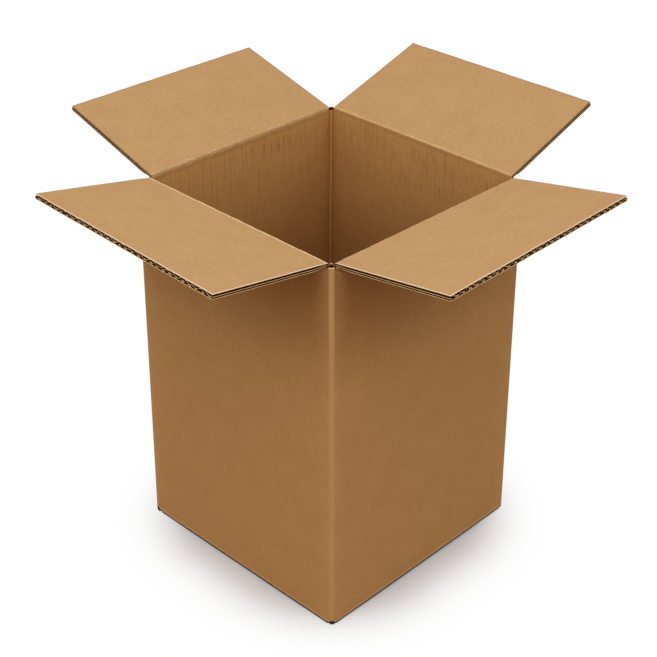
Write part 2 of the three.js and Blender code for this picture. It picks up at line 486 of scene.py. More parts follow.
@dataclass
class Shell:
    """The four walls with their folds, foot, corner tops, glue lap and bottom flaps."""

    corner_radius: float = 6.5
    fold_start: float = 163.0
    bead_radius: float = 3.1
    spread: float = 7.5
    swell: float = 0.5
    corner_push: float = 3.0
    push_start: float = 148.0
    push_reach: float = 7.0
    push_shift: float = 13.0
    push_heights: tuple[float, float] = (470.0, 514.0)
    foot_turn: float = 0.008
    foot_skew: float = 4.0
    foot_radius: float = 3.5
    foot_arc: tuple[int, ...] = (90, 70, 50, 30, 15, 0)
    foot_fade: float = 34.0
    inner_foot: float = 0.6
    inner_start: float = 0.8
    corner_lift: float = 1.5
    lift_full: float = 164.0
    wall_rows: tuple[int, ...] = (22, 34, *range(50, 470, 20), 470, 484, 496, 506)
    rim_rows: tuple[float, ...] = (3.0, 1.0, 0.0)
    rim_step: float = 0.45
    rim_full: float = 167.5
    rim_opens: tuple[float, float] = (162.5, 168.0)
    rim_groove: float = 5.0
    rim_width: float = 1.0
    rim_dip: float = 0.1
    groove_width: float = 0.8
    groove_depth: float = 2.2
    groove_floor: float = 0.6
    cut_depth: float = 1.4
    column_step: float = 5.0
    corner_columns: int = 16
    lap_width: float = 36.0
    lap_thickness: float = 4.2
    lap_gap: float = 0.02
    lap_foot: float = 24.0
    lap_top: float = 483.0
    lap_slant: float = 10.0
    lap_grid: tuple[int, int] = (10, 24)
    bottom_press: float = 0.05
    bottom_tuck: float = 0.6
    bottom_step: float = 20.0
    bottom_end: float = 6.0
    meeting_gap: float = 5.0

    def outer_corner(self, kind: Corner) -> list[tuple[float, float]]:
        """The outer face from the flap's notch to the corner.

        Args:
            kind: how the corner is made.

        Returns:
            Places along the wall and outward.
        """
        half, r = HALF_WIDTH, self.corner_radius
        if kind is Corner.FOLDED:
            arc = [(half - r + r * math.sin(a), -r + r * math.cos(a))
                   for a in np.radians([0, 9, 18, 27, 36, 45])]
            return [(CORNER_START, 0.0), (self.fold_start, 0.0)] + arc
        edge = half - BOARD.thickness
        groove = edge - self.groove_width
        points = [(CORNER_START, 0.0), (groove - self.groove_width, 0.0),
                  (groove, -self.groove_depth), (groove + self.groove_floor, -self.groove_depth),
                  (edge, 0.0)]
        for low, high in reversed(BOARD.liners):
            points += [(half - high, -self.cut_depth), (half - high, 0.0), (half - low, 0.0),
                       (half - low, -self.cut_depth)]
        del points[5], points[-1]
        return points

    def inner_corner(self) -> list[tuple[float, float]]:
        """The inner face from the flap's notch to the bead in the corner.

        Returns:
            Places along the wall and outward.
        """
        t, b = BOARD.thickness, self.bead_radius
        corner = HALF_WIDTH - t
        points = [(CORNER_START, -t + 0.1), (corner - b - 0.6, -t + 1.0), (corner - b, -t + 2.0)]
        for a in np.radians([4, 14, 24, 34, 45]):
            points.append((corner - b * math.cos(a), -t - b * math.sin(a)))
        return points

    @staticmethod
    def resample(points: list[tuple[float, float]], count: int) -> Array:
        """Spreads a number of points over a line, keeping its own points where they fit.

        Args:
            points: the line.
            count: how many points to spread.

        Returns:
            The new points.
        """
        line = np.array(points, float)
        spots = np.linspace(0, len(line) - 1, count)
        return np.stack([np.interp(spots, np.arange(len(line)), line[:, k]) for k in (0, 1)], 1)

    def columns(self, side: Side) -> tuple[Array, Array, Array]:
        """The upright lines of one wall.

        Args:
            side: which wall.

        Returns:
            The outer face's places, the inner face's places, and how much of the rim is open.
        """
        steps = int(round(2 * NOTCH_HALF_WIDTH / self.column_step))
        straight = np.linspace(-NOTCH_HALF_WIDTH, NOTCH_HALF_WIDTH, steps + 1)
        plain = np.stack([straight, np.zeros_like(straight)], 1)
        inner_plain = np.stack([straight, np.full_like(straight, -BOARD.thickness)], 1)
        inner = self.inner_corner()
        start = self.outer_corner(Corner.FOLDED)
        if side is Side.FRONT:
            start = [(CORNER_START, 0.0), (165.0, 0.0), (169.0, 0.0), (HALF_WIDTH, 0.0)]
        count = self.corner_columns
        end = self.outer_corner(Corner.CUT if side is Side.LEFT else Corner.FOLDED)
        end_count = len(end) if side is Side.LEFT else count
        mirror = np.array([-1.0, 1.0])
        outer = np.concatenate([self.resample(start, count)[::-1] * mirror, plain,
                                self.resample(end, end_count)])
        inside = np.concatenate([self.resample(inner, count)[::-1] * mirror, inner_plain,
                                 self.resample(inner, end_count)])
        opened = np.concatenate([np.ones(count), np.zeros(len(plain)), np.ones(end_count)])
        return outer, inside, opened

    def wall(self, draft: MeshDraft, flap: Flap) -> None:
        """Adds one wall with its foot, its rim and the tops of its corners.

        Args:
            draft: the mesh that grows.
            flap: the wall's top flap.
        """
        side = flap.side
        outer, inner, opened = self.columns(side)
        off_middle = abs(outer[:, 0])
        notch = flap.fold_height - CREASE_LEG
        front_corner = outer[:, 0] * (1 if side is Side.FRONT else -1) > 0
        front_corner &= side in (Side.FRONT, Side.RIGHT)
        top = np.where(front_corner, FRONT_CORNER_HEIGHT, CORNER_HEIGHT)
        rise = self.rim_step + (1 - self.rim_step) * smoothstep(
            CORNER_START, self.rim_full, off_middle)
        rim = np.where(opened > 0, notch + (top - notch) * rise, notch)
        opened = opened * smoothstep(*self.rim_opens, off_middle)
        own_foot = 0.0 if flap.outer_pair else self.inner_foot
        foot = own_foot + (self.corner_lift - own_foot) * smoothstep(
            CORNER_START, self.lift_full, off_middle)
        r, flat = self.foot_radius, np.zeros(len(outer))
        rows = [(foot + r - r * math.sin(a), flat - (r - r * math.cos(a)))
                for a in np.radians(self.foot_arc)]
        rows += [(flat + z, flat) for z in self.wall_rows]
        rows += [(rim - down, flat) for down in self.rim_rows]
        z, back = (np.array(part) for part in zip(*rows))
        uv_outer = self.panel(flap, outer, z - foot * np.clip(1 - z / self.foot_fade, 0, 1))
        numbers = draft.add_points(self.grid(side, outer, z, back))
        draft.add_grid(numbers, uv_outer, Finish.OUTSIDE)
        z_in = np.concatenate([[np.full(len(inner), self.inner_start)], z[len(self.foot_arc):]])
        uv_inner = self.panel(flap, inner, z_in)
        inside = draft.add_points(self.grid(side, inner, z_in, np.zeros_like(z_in)))
        draft.add_grid(inside, uv_inner, Finish.INSIDE)
        self.rim(draft, side, (outer, inner), (rim, opened), (numbers[-1], inside[-1]),
                 (uv_outer[-1], uv_inner[-1]))
        draft.add_quads(numbers[0], inside[0], uv_outer[0], uv_inner[0], Finish.OUTSIDE)

    def rim(self, draft: MeshDraft, side: Side, lines: tuple[Array, Array],
            tops: tuple[Array, Array], ends: tuple[Array, Array],
            coords: tuple[Array, Array]) -> None:
        """Closes a wall's top with the liners' edges and the open flutes between them.

        Args:
            draft: the mesh that grows.
            side: which wall.
            lines: the plan of the outer and of the inner face.
            tops: the rim's height, and how much of it is open.
            ends: the numbers of both faces' top points.
            coords: their panel coordinates.
        """
        t = BOARD.thickness
        profile = [(self.rim_width, 0.0), (self.rim_width, 1.0), (t - self.rim_width, 1.0),
                   (t - self.rim_width, self.rim_dip)]
        last, last_uv = ends[0], coords[0]
        for depth, sunk in profile:
            share = depth / t
            line = lines[0] * (1 - share) + lines[1] * share
            z = tops[0] - self.rim_groove * sunk * tops[1]
            row = self.grid(side, line, z[None, :], np.zeros((1, len(z))))
            numbers = draft.add_points(row)[0]
            uv = coords[0] * (1 - share) + coords[1] * share
            # The open flutes in the rim take the near-black fluting finish, painted shade of the
            # holes.
            draft.add_quads(last, numbers, last_uv, uv, Finish.FLUTE if sunk else Finish.EDGE)
            last, last_uv = numbers, uv
        draft.add_quads(last, ends[1], last_uv, coords[1], Finish.INSIDE)

    def grid(self, side: Side, line: Array, z: Array, back: Array) -> Array:
        """Stands a line of the plan up into a grid that spreads towards the floor.

        Args:
            side: which wall.
            line: places along the wall and outward.
            z: the height of every point.
            back: how far outward every point is moved besides.

        Returns:
            The grid of points.
        """
        spread = self.spread * np.clip(1 - z / WALL_TOP, 0, 1)
        scale = (HALF_WIDTH + spread) / HALF_WIDTH
        s = line[None, :, 0] * scale
        u = (HALF_WIDTH + line[None, :, 1] + back) * scale - HALF_WIDTH
        swell = self.swell * np.sin(math.pi * np.clip(z / WALL_TOP, 0, 1)) * np.cos(
            math.pi * np.clip(line[None, :, 0] / HALF_WIDTH, -1, 1) / 2) ** 2
        return self.settle(to_world(side, s, u + swell, z))

    def settle(self, points: Array) -> Array:
        """Lets the box stand as a used one does: corners pushed out, foot a little askew.

        Args:
            points: points of the walls or the bottom in metres.

        Returns:
            The moved points.
        """
        x, y, z = (points[..., k] / MM for k in range(3))
        low = np.clip(1 - z / WALL_TOP, 0, 1)
        near_top = smoothstep(*self.push_heights, z)
        start = self.push_start + self.push_shift * near_top
        reach = self.push_reach + self.push_shift * (1 - near_top)
        weight = np.clip((np.abs(x) - start) / reach, 0, 1) * np.clip(
            (np.abs(y) - start) / reach, 0, 1) * (1 - low)
        skew = self.foot_skew * low * (1 - x / HALF_WIDTH) * (1 - y / HALF_WIDTH) / 4
        x, y = (x + np.sign(x) * self.corner_push * weight - self.foot_turn * low * y + skew,
                y + np.sign(y) * self.corner_push * weight + self.foot_turn * low * x - skew)
        return np.stack([x, y, z], axis=-1) * MM

    @staticmethod
    def panel(flap: Flap, line: Array, z: Array) -> Array:
        """The panel coordinates of a wall, which run on into its flap's.

        Args:
            flap: the wall's top flap.
            line: places along the wall and outward.
            z: the height of every point.

        Returns:
            The grid of panel coordinates.
        """
        s = np.broadcast_to(line[None, :, 0], z.shape)
        drop = FOLD_HEIGHT - flap.fold_height
        v = z - FOLD_HEIGHT - RIDGE_HALF + drop * np.clip(z / DROP_FADE, 0, 1)
        return np.stack([s * MM + flap.side.value, np.minimum(v, WALL_PANEL_TOP) * MM], axis=-1)

    def bottom(self, draft: MeshDraft, flap: Flap) -> None:
        """Adds the bottom flap of one wall, with open flutes along its free edge.

        Args:
            draft: the mesh that grows.
            flap: the wall's top flap.
        """
        floor = 0.0 if flap.outer_pair else BOARD.thickness - self.bottom_press
        half, step = HALF_WIDTH + self.spread, self.bottom_step
        inward = np.concatenate([[BOARD.thickness - self.bottom_tuck, step],
                                 np.linspace(2 * step, half - step, 5),
                                 [half - self.bottom_end, half - self.meeting_gap / 2]])

        def place(s: Array, depth: Array) -> Array:
            """Lays points of the bottom flap flat.

            Args:
                s: positions along the fold.
                depth: how far each lies from the outer face.

            Returns:
                The grid of points.
            """
            u = self.spread - inward[:, None]
            return self.settle(to_world(flap.side, s, u, floor + depth[None, :]))

        def panel(s: Array) -> Array:
            """The panel coordinates of the bottom flap."""
            s_grid, v_grid = np.meshgrid(s, -FOLD_HEIGHT - inward)
            return np.stack([s_grid * MM + flap.side.value, v_grid * MM], axis=-1)

        FluteBoard(columns=41, points_per_flute=6).fill(
            draft, place, panel, FLAP_HALF_WIDTH + self.spread, (Finish.INSIDE, Finish.OUTSIDE))

    def lap(self, draft: MeshDraft, flap: Flap) -> None:
        """Adds the glue lap inside the front wall, squeezed thin, with slanted ends.

        Args:
            draft: the mesh that grows.
            flap: the top flap of the wall that the lap is glued to.
        """
        t = BOARD.thickness
        starts = -HALF_WIDTH + t + np.linspace(0, self.lap_width, self.lap_grid[0])
        share = (starts - starts[0]) / self.lap_width
        low = 2 * t + self.lap_foot + self.lap_slant * share
        high = self.lap_top - self.lap_slant * share
        heights = low + (high - low) * np.linspace(0, 1, self.lap_grid[1])[:, None]
        near_line = np.stack([starts, np.full_like(starts, -t + self.lap_gap)], 1)
        edge = 1 - 0.25 * smoothstep(0.9, 1.0, share)
        far_line = np.stack([starts, -t - self.lap_thickness * edge], 1)
        upper = self.grid(flap.side, far_line, heights, np.zeros_like(heights))
        lower = self.grid(flap.side, near_line, heights, np.zeros_like(heights))
        draft.add_slab(upper, lower, self.panel(flap, far_line, heights),
                       (Finish.INSIDE, Finish.INSIDE), Finish.EDGE, Finish.EDGE)

    def build(self, flaps: list[Flap], materials: Papers) -> bpy.types.Object:
        """Makes the shell and has it stand for the carton's body.

        Args:
            flaps: the top flaps, one for each wall.
            materials: the papers, in the order of Finish.

        Returns:
            The shell.
        """
        draft = MeshDraft()
        for flap in flaps:
            self.wall(draft, flap)
            self.bottom(draft, flap)
        self.lap(draft, flaps[0])
        made = draft.build("carton_shell", materials)
        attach(made, "body")
        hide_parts("carton_body")
        return made


def srgb(red: float, green: float, blue: float) -> Colour:
    """Turns a colour of 0 to 255 on screen into the linear values that a node takes."""
    parts = [value / 255 for value in (red, green, blue)]
    return (*[p / 12.92 if p <= 0.04045 else ((p + 0.055) / 1.055) ** 2.4 for p in parts], 1.0)


class Graph:
    """A short way to lay nodes and link them."""

    def __init__(self, tree: Tree) -> None:
        """Keeps the tree."""
        self.tree = tree

    def node(self, kind: str, inputs: dict[int | str, object] | None = None,
             **settings: object) -> Node:
        """Adds a node.

        Args:
            kind: the node's type.
            inputs: what each input takes.
            settings: the node's own properties.

        Returns:
            The new node.
        """
        made = self.tree.nodes.new(kind)
        for name, value in settings.items():
            setattr(made, name, value)
        for key, value in (inputs or {}).items():
            self.put(made.inputs[key], value)
        return made

    def put(self, socket: Socket, value: object) -> None:
        """Sets a socket to a number or a colour, or links another socket to it.

        Args:
            socket: the socket.
            value: what it takes.
        """
        if isinstance(value, Socket):
            self.tree.links.new(value, socket)
        else:
            socket.default_value = value

    def math(self, operation: str, *values: object, clamp: bool = False) -> Socket:
        """Adds a Math node and returns its result."""
        inputs = dict(enumerate(values))
        return self.node("ShaderNodeMath", inputs, operation=operation, use_clamp=clamp).outputs[0]

    def times(self, *values: object) -> Socket:
        """Multiplies values with one another and returns the product."""
        return reduce(lambda total, value: self.math("MULTIPLY", total, value), values)

    def mix(self, factor: object, first: object, second: object, blend: str = "MIX") -> Socket:
        """Mixes two colours and returns the result."""
        inputs = {0: factor, 6: first, 7: second}
        return self.node("ShaderNodeMix", inputs, data_type="RGBA", blend_type=blend).outputs[2]

    def blend(self, factor: object, first: Node, second: Node) -> Node:
        """Mixes two shaders and returns the new node."""
        inputs = {0: factor, 1: first.outputs[0], 2: second.outputs[0]}
        return self.node("ShaderNodeMixShader", inputs)

    def ramp(self, value: object, low: float, high: float, start: float = 0.0,
             end: float = 1.0) -> Socket:
        """Maps a value smoothly from low and high to start and end."""
        inputs = dict(enumerate((value, low, high, start, end)))
        return self.node("ShaderNodeMapRange", inputs, interpolation_type="SMOOTHSTEP").outputs[0]

    def noise(self, vector: object, scale: object, detail: float = 2.0,
              stretch: tuple[float, float] | None = None) -> Socket:
        """Adds a noise.

        Args:
            vector: the coordinates that it reads.
            scale: how fine it is, for each metre.
            detail: how many finer layers it has.
            stretch: factors for the two coordinates.

        Returns:
            The noise's value.
        """
        if stretch:
            vector = self.node("ShaderNodeVectorMath", {0: vector, 1: (*stretch, 1.0)},
                               operation="MULTIPLY").outputs[0]
        inputs = {"Vector": vector, "Scale": scale, "Detail": detail}
        return self.node("ShaderNodeTexNoise", inputs).outputs["Fac"]

    def split(self, vector: object) -> tuple[Socket, Socket]:
        """Takes the first and the second coordinate out of a vector."""
        made = self.node("ShaderNodeSeparateXYZ", {0: vector})
        return made.outputs[0], made.outputs[1]

    def off_middle(self, x: object) -> Socket:
        """How far a place is from the upright middle line of its panel."""
        return self.math("ABSOLUTE", self.math("SUBTRACT", x, self.math("ROUND", x)))

    def effect(self, effects: "Effects", name: str, vector: object, **numbers: float) -> Sockets:
        """Adds a shared effect.

        Args:
            effects: the shared effects.
            name: which one.
            vector: the coordinates that it reads.
            numbers: its numbers by the names of its sockets, in small letters.

        Returns:
            The sockets that it gives.
        """
        made = self.node("ShaderNodeGroup", node_tree=effects.trees[name])
        self.put(made.inputs["Vector"], vector)
        for key, value in numbers.items():
            made.inputs[key.replace("_", " ").title()].default_value = value
        return made.outputs


class Effects:
    """Builds the shared node groups once, and keeps them by name."""

    def __init__(self) -> None:
        """Builds all groups."""
        self.trees: dict[str, Tree] = {}
        for build in (self.kraft_fibre, self.flute_washboard, self.crease_highlight_and_crumple, self.cut_rim,
                      self.painted_wall_shading, self.painted_foot_light):
            build()

    def open(self, name: str, numbers: tuple[str, ...],
             outputs: tuple[str, ...]) -> tuple[Graph, Sockets, Sockets]:
        """Makes an empty group that reads a vector.

        Args:
            name: the group's name.
            numbers: the numbers that it takes.
            outputs: the values that it gives.

        Returns:
            The group's graph, the sockets that it gives, and those that it takes.
        """
        tree = self.trees[name] = bpy.data.node_groups.new(name, "ShaderNodeTree")
        tree.interface.new_socket("Vector", in_out="INPUT", socket_type="NodeSocketVector")
        for way, names in (("INPUT", numbers), ("OUTPUT", outputs)):
            for socket in names:
                tree.interface.new_socket(socket, in_out=way, socket_type="NodeSocketFloat")
        g = Graph(tree)
        return g, g.node("NodeGroupInput").outputs, g.node("NodeGroupOutput").inputs

    def kraft_fibre(self) -> None:
        """Cloudy kraft paper: broad mottle, short fibres, dark specks and pale grains."""
        g, inp, out = self.open("kraft_fibre", ("Fleck Size",),
                                ("Shade", "Fleck", "Spark", "Height"))
        vector = inp["Vector"]
        broad = g.noise(vector, 26.0, 4.0)
        cloud = g.noise(vector, 210.0, 5.0, (1.0, 0.55))
        fibre = g.noise(vector, 1500.0, 3.0, (0.35, 1.0))
        strand = g.noise(vector, 1100.0, 2.0, (1.0, 0.3))
        shade = g.math("ADD", g.times(broad, 0.2), g.times(cloud, 0.3))
        shade = g.math("ADD", shade, g.times(fibre, 0.22))
        shade = g.math("ADD", shade, g.times(strand, 0.28))
        speck = g.noise(vector, inp["Fleck Size"], 1.0, (0.6, 1.0))
        grain = g.noise(vector, 430.0, 2.0, (0.45, 1.0))
        g.put(out["Shade"], g.ramp(shade, 0.34, 0.66))
        g.put(out["Fleck"], g.ramp(speck, 0.7, 0.78))
        g.put(out["Spark"], g.ramp(grain, 0.68, 0.76))
        g.put(out["Height"], g.math("ADD", g.times(fibre, 0.6), g.times(cloud, 0.4)))

    def flute_washboard(self) -> None:
        """The fluting that shows through the liner as soft upright bands and thin streaks."""
        g, inp, out = self.open("flute_washboard", ("Pitch", "Wobble"), ("Wave", "Streak"))
        vector = inp["Vector"]
        x, y = g.split(vector)
        drift = g.math("SUBTRACT", g.noise(vector, 38.0, 2.0, (1.0, 0.12)), 0.5)
        phase = g.math("ADD", g.math("DIVIDE", x, inp["Pitch"]), g.times(drift, inp["Wobble"]))
        wave = g.math("MULTIPLY_ADD", g.math("SINE", g.times(phase, 2 * math.pi)), 0.5, 0.5)
        on_wall = g.times(g.ramp(y, -0.16, -0.004, 0.25, 1.0), g.ramp(y, -0.006, 0.002, 1.0, 0.0))
        patchy = g.ramp(g.noise(vector, 120.0, 3.0, (1.0, 0.08)), 0.42, 0.68)
        band = g.times(g.math("POWER", wave, 5.0), patchy, on_wall, 0.26)
        scratch = g.ramp(g.noise(vector, 640.0, 3.0, (1.0, 0.035)), 0.56, 0.74)
        broken = g.ramp(g.noise(vector, 60.0, 2.0, (1.0, 0.5)), 0.4, 0.6)
        g.put(out["Wave"], wave)
        g.put(out["Streak"], g.math("MAXIMUM", band, g.times(scratch, broken, on_wall)))

    def crease_highlight_and_crumple(self) -> None:
        """The painted highlight along a crease, a thin line with patchy painted glints, and the
        slightly crumpled paper there, from its distance to the ridge.
        """
        g, inp, out = self.open("crease_highlight_and_crumple", ("Reach",), ("Ridge", "Crumple"))
        vector = inp["Vector"]
        x, y = g.split(vector)
        rough = g.noise(vector, 170.0, 4.0, (1.0, 0.6))
        wobble = g.noise(vector, 520.0, 2.0, (1.0, 0.3))
        shifted = g.math("MULTIPLY_ADD", rough, 0.002, g.math("SUBTRACT", y, 0.0032))
        away = g.math("ABSOLUTE", g.math("MULTIPLY_ADD", wobble, 0.002, shifted))
        # Painted highlight: a thin line on the ridge, full on the front and right creases and
        # weaker on the back and left, with patchy painted glints, mostly on the back and left.
        thin = g.times(g.ramp(away, 0.0, inp["Reach"], 1.0, 0.0), g.ramp(x, 1.4, 1.6, 1.0, 0.2))
        painted_glint = g.ramp(g.noise(vector, 640.0, 2.0, (0.7, 1.0)), 0.52, 0.62)
        patch = g.ramp(g.noise(vector, 46.0, 2.0), 0.42, 0.6, 0.15, 1.0)
        band = g.ramp(away, 0.002, 0.0045, 1.0, 0.0)
        painted_glint = g.times(painted_glint, band, patch, g.ramp(x, 1.4, 1.6, 0.25, 0.8))
        creased = g.math("ADD", rough, g.times(wobble, 0.8))
        g.put(out["Ridge"], g.math("MAXIMUM", thin, painted_glint))
        g.put(out["Crumple"], g.times(creased, g.ramp(away, 0.0, 0.01, 1.0, 0.0)))

    def painted_wall_shading(self) -> None:
        """How far down a wall a place lies, and whether it is on a wall at all: the masks of the
        walls' painted light and shade.
        """
        g, inp, out = self.open("painted_wall_shading", ("Reach",), ("Depth", "Wall"))
        vector = inp["Vector"]
        _, y = g.split(vector)
        wander = g.math("MULTIPLY_ADD", g.noise(vector, 14.0, 2.0), 0.03, -0.015)
        down = g.math("SUBTRACT", g.times(y, -1.0), wander)
        wavy = g.math("MULTIPLY_ADD", g.noise(vector, 130.0, 5.0, (1.0, 0.3)), 0.02, y)
        g.put(out["Depth"], g.ramp(down, 0.015, inp["Reach"]))
        g.put(out["Wall"], g.ramp(wavy, 0.0085, 0.0115, 1.0, 0.0))

    def painted_foot_light(self) -> None:
        """The painted highlight along the rounded foot, and the painted contact shadow where it
        turns to the floor, reaching higher near the corners.
        """
        g, inp, out = self.open("painted_foot_light", ("Floor", "Dark", "Pale"), ("Painted Highlight", "Line"))
        x, y = g.split(inp["Vector"])
        near_corner = g.ramp(g.off_middle(x), 0.1655, 0.1685)
        height = g.math("MULTIPLY_ADD", g.noise(inp["Vector"], 300.0, 3.0), -0.0012,
                        g.math("SUBTRACT", y, inp["Floor"]))
        dark = g.math("MULTIPLY_ADD", near_corner, 0.003, inp["Dark"])
        g.put(out["Line"], g.ramp(g.math("SUBTRACT", dark, height), -0.0004, 0.0004))
        g.put(out["Painted Highlight"], g.ramp(g.math("SUBTRACT", inp["Pale"], height), 0.0, 0.003))

    def cut_rim(self) -> None:
        """The line along a flap's free edges, pale by the front corner and at the front and right
        tips, partly the paper's pale cut edge and partly painted highlight, and darkened as painted
        shade on the other edges and tips; and the distance to a corner fold.
        """
        g, inp, out = self.open("cut_rim", ("Half Width", "Length", "Line"),
                                ("Pale", "Soiled", "Corner"))
        x, y = g.split(inp["Vector"])
        off = g.off_middle(x)
        line = g.times(inp["Line"], g.math("ADD", g.noise(inp["Vector"], 420.0, 2.0), 0.5))
        side = g.math("LESS_THAN", g.math("SUBTRACT", inp["Half Width"], off), line)
        side = g.times(side, g.math("GREATER_THAN", y, 0.0))
        tip = g.math("LESS_THAN", g.math("SUBTRACT", inp["Length"], y), line)
        inward = g.math("ABSOLUTE", g.math("SUBTRACT", x, 0.5))
        pale = g.math("MAXIMUM", g.times(side, g.math("LESS_THAN", inward, 0.5)),
                      g.times(tip, g.math("LESS_THAN", x, 1.5)))
        g.put(out["Pale"], pale)
        g.put(out["Soiled"], g.math("SUBTRACT", g.math("MAXIMUM", side, tip), pale, clamp=True))
        g.put(out["Corner"], g.math("SUBTRACT", HALF_WIDTH * MM, off))


@dataclass(frozen=True)
class KraftPaper:
    """One paper surface of the board: its colours and how strongly each effect shows."""

    name: str
    dark: Colour
    light: Colour
    # pale_grain_and_highlight colours the pale grains and the painted highlight on the crease
    # ridge.
    pale_grain_and_highlight: Colour
    speck: Colour
    pitch: float = 7.8
    wobble: float = 0.55
    fleck_size: float = 520.0
    fleck: float = 0.5
    spark: float = 0.28
    # strip is the pale colour of the painted highlight on the corner folds and along the foot, and
    # of the frayed ends' pale tufts.
    strip: Colour = (0.0, 0.0, 0.0, 1.0)
    # edge_pale_and_highlight colours the pale edge lines, partly the paper's lighter cut edge and
    # partly painted highlight; soiled sets the painted shade on the far edges.
    edge_pale_and_highlight: Colour = (1.0, 0.84, 0.61, 1.0)
    soiled: float = 0.55
    # painted_top_shading multiplies the wall colour near the top and painted_deep_shading deep
    # down: painted shade under the flaps outside; painted light at the top and painted shade deep
    # down inside.
    painted_top_shading: Colour | None = None
    painted_deep_shading: Colour = (1.0, 1.0, 1.0, 1.0)
    painted_shading_reach: float = 0.24
    # foot sets the painted highlight along the foot; painted_contact_shadow is the painted shadow
    # line where the foot meets the floor, up to contact_shadow_height.
    foot: float = 0.0
    painted_contact_shadow: Colour = (0.03, 0.012, 0.004, 1.0)
    contact_shadow_height: float = 0.0042
    foot_highlight_height: float = 0.0095
    streak: float = 0.0
    wave: float = 0.0
    frayed: float = 0.0
    # ridge sets the painted highlight along the crease ridge.
    ridge: float = 0.0
    ridge_highlight_reach: float = 0.0024
    edge_line_and_highlight: float = 0.0
    line_width: float = 0.0011
    # corner sets the painted highlight along the rounded corner folds.
    corner: float = 0.0
    bump: float = 0.35
    bump_distance: float = 0.0004
    bump_strength: float = 0.9
    fibre_height: float = 0.12
    crumple: float = 1.8
    roughness: float = 0.82
    specular: float = 0.28

    def make(self, effects: Effects) -> bpy.types.Material:
        """Builds the material.

        Args:
            effects: the shared node groups.

        Returns:
            The material.
        """
        material = bpy.data.materials.new(self.name)
        material.use_nodes = True
        shader = material.node_tree.nodes["Principled BSDF"]
        g = Graph(material.node_tree)
        panel = g.node("ShaderNodeUVMap", uv_map="panel").outputs["UV"]
        fibre = g.effect(effects, "kraft_fibre", panel, fleck_size=self.fleck_size)
        board = g.effect(effects, "flute_washboard", panel, pitch=self.pitch * MM,
                         wobble=self.wobble)
        fold = g.effect(effects, "crease_highlight_and_crumple", panel, reach=self.ridge_highlight_reach)
        colour = g.mix(fibre["Shade"], self.dark, self.light)
        corner_highlight_gain: object = 1.0
        # The walls' painted light and shade, by depth below the crease.
        if self.painted_top_shading:
            shading_mask = g.effect(effects, "painted_wall_shading", panel, reach=self.painted_shading_reach)
            painted_shading = g.mix(shading_mask["Depth"], self.painted_top_shading, self.painted_deep_shading)
            colour = g.mix(shading_mask["Wall"], colour, painted_shading, "MULTIPLY")
            # Makes the corner folds' painted highlight twice as strong at the top of the wall.
            corner_highlight_gain = g.ramp(shading_mask["Depth"], 0.0, 1.0, 2.0, 1.0)
        # The last of these is the painted highlight along the crease ridge.
        for strength, source, over in ((self.streak, board["Streak"], self.speck),
                                       (self.wave, board["Wave"], self.dark),
                                       (self.ridge, fold["Ridge"], self.pale_grain_and_highlight)):
            if strength:
                colour = g.mix(g.times(source, strength), colour, over)
        if self.edge_line_and_highlight:
            colour = self.add_edges(g, effects, panel, colour, corner_highlight_gain)
        if self.frayed:
            tuft = g.math("MULTIPLY_ADD", g.noise(panel, 260.0, 2.0), 0.9, board["Wave"])
            colour = g.mix(g.ramp(tuft, 0.95, 1.2, 0.0, self.frayed), colour, self.strip)
        colour = g.mix(g.times(fibre["Fleck"], self.fleck), colour, self.speck)
        colour = g.mix(g.times(fibre["Spark"], self.spark), colour, self.pale_grain_and_highlight)
        g.put(shader.inputs["Base Color"], colour)
        g.put(shader.inputs["Roughness"], g.ramp(fibre["Shade"], 0.0, 1.0, self.roughness + 0.06,
                                                 self.roughness - 0.05))
        shader.inputs["Specular IOR Level"].default_value = self.specular
        height = g.math("ADD", g.times(fibre["Height"], self.fibre_height),
                        g.times(board["Wave"], self.bump))
        height = g.math("ADD", height, g.times(fold["Crumple"], self.crumple))
        bump = g.node("ShaderNodeBump", {
            "Distance": self.bump_distance, "Strength": self.bump_strength, "Height": height})
        g.put(shader.inputs["Normal"], bump.outputs["Normal"])
        return material

    def add_edges(self, g: Graph, effects: Effects, panel: Socket,
                  colour: Socket, corner_highlight_gain: object) -> Socket:
        """Adds the lines along the free edges, partly painted highlight and painted shade, the
        painted highlight along the corner folds, and the foot's painted highlight and painted
        contact shadow.

        Args:
            g: the material's graph.
            effects: the shared node groups.
            panel: the panel coordinates.
            colour: the colour so far.
            corner_highlight_gain: how much stronger the corner folds' painted highlight is, twice
                as strong at the top of the wall.

        Returns:
            The new colour.
        """
        rim = g.effect(effects, "cut_rim", panel, half_width=FLAP_HALF_WIDTH * MM,
                       length=(FLAP_LENGTH + RIDGE_HALF) * MM, line=self.line_width)
        # Pale lines on the near free edges, partly painted highlight; then painted shade on the far
        # edges in the speck colour.
        colour = g.mix(g.times(rim["Pale"], self.edge_line_and_highlight), colour, self.edge_pale_and_highlight)
        colour = g.mix(g.times(rim["Soiled"], self.soiled), colour, self.speck)
        # Painted highlight along the foot's rounding.
        if self.foot:
            foot_light = g.effect(effects, "painted_foot_light", panel, floor=-(FOLD_HEIGHT + RIDGE_HALF) * MM,
                            dark=self.contact_shadow_height, pale=self.foot_highlight_height)
            colour = g.mix(g.times(foot_light["Painted Highlight"], self.foot), colour, self.strip)
        # Painted highlight along the rounded corner folds: a narrow band and a broader fall-off.
        if self.corner:
            narrow = g.ramp(rim["Corner"], 0.0035, 0.0068, 1.0, 0.0)
            broad = g.ramp(rim["Corner"], 0.0, 0.034, 0.45, 0.0)
            factor = g.times(g.math("MAXIMUM", narrow, broad), self.corner)
            factor = g.math("MULTIPLY", factor, corner_highlight_gain, clamp=True)
            colour = g.mix(factor, colour, self.strip)
        # Painted contact shadow where the foot meets the floor.
        if self.foot:
            colour = g.mix(foot_light["Line"], colour, self.painted_contact_shadow)
        return colour


